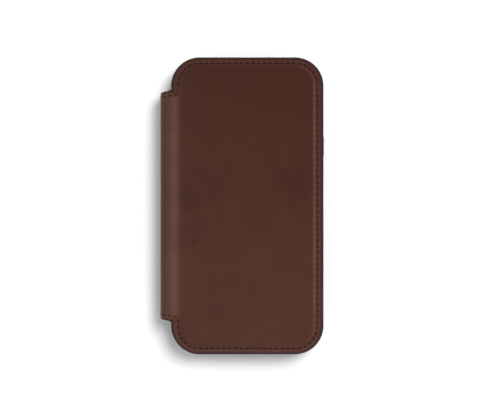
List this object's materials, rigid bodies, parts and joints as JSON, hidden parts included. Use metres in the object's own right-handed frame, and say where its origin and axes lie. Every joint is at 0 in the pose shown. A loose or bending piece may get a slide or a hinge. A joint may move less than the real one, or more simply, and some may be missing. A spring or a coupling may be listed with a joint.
{
  "type": "phone wallet case",
  "caption": "Folding leather wallet case for a phone: moulded shell on the back panel, soft spine, stiff front cover with card and cash pockets.",
  "frame": {"origin": "point on the back panel's outer face under the middle of the phone's space; the closed case lies on this face", "axes": "+X to the cover's free edge with the spine at -X, +Y to the phone's top end, +Z out of the front cover"},
  "size_m": [0.0849, 0.1544, 0.0181],
  "materials": {
    "outer_leather": "smooth semi-matte dark brown leather with a very fine grain",
    "pocket_leather": "thin smooth brown leather",
    "suede_lining": "short-napped dark microsuede",
    "soft_pad": "short-napped dark grey microfibre",
    "thread": "waxed dark red-brown thread",
    "adhesive": "thin double-sided adhesive film",
    "stiff_board": "pressed fibre board",
    "black_shell": "fine satin black moulded shell",
    "button_black": "satin black button cap",
    "magnet_steel": "nickel-plated magnet bar"
  },
  "bodies": {
    "case_back": {"back_leather": "outer_leather", "back_lining": "suede_lining", "back_stitching": "thread", "shell_adhesive": "adhesive", "phone_shell": "black_shell", "shell_lining": "soft_pad", "shell_magnets": "magnet_steel"},
    "spine": {"spine_leather": "outer_leather", "spine_lining": "suede_lining", "spine_stitching": "thread"},
    "cover": {"cover_leather": "outer_leather", "cover_board": "stiff_board", "cover_magnets": "magnet_steel", "cover_lining": "suede_lining", "cash_pocket": "pocket_leather", "card_pocket_upper": "pocket_leather", "card_pocket_middle": "pocket_leather", "card_pocket_lower": "pocket_leather", "pocket_stitching": "thread", "cover_stitching": "thread"},
    "power_key": {"power_button": "button_black"},
    "volume_up_key": {"volume_up_button": "button_black"},
    "volume_down_key": {"volume_down_button": "button_black"}
  },
  "joints": [
    {"name": "spine_fold", "type": "hinge", "parent": "case_back", "child": "spine", "pos_m": [-0.04345, 0, 0.0016], "axis": [0, -1, 0], "range_deg": [0, 180]},
    {"name": "cover_fold", "type": "hinge", "parent": "spine", "child": "cover", "pos_m": [-0.04345, 0, 0.0157], "axis": [0, -1, 0], "range_deg": [0, 180]},
    {"name": "power_press", "type": "slide", "parent": "case_back", "child": "power_key", "axis": [-1, 0, 0], "range_m": [0, 0.00035], "stiffness_N_per_m": 800},
    {"name": "volume_up_press", "type": "slide", "parent": "case_back", "child": "volume_up_key", "axis": [1, 0, 0], "range_m": [0, 0.00035], "stiffness_N_per_m": 800},
    {"name": "volume_down_press", "type": "slide", "parent": "case_back", "child": "volume_down_key", "axis": [1, 0, 0], "range_m": [0, 0.00035], "stiffness_N_per_m": 800}
  ]
}
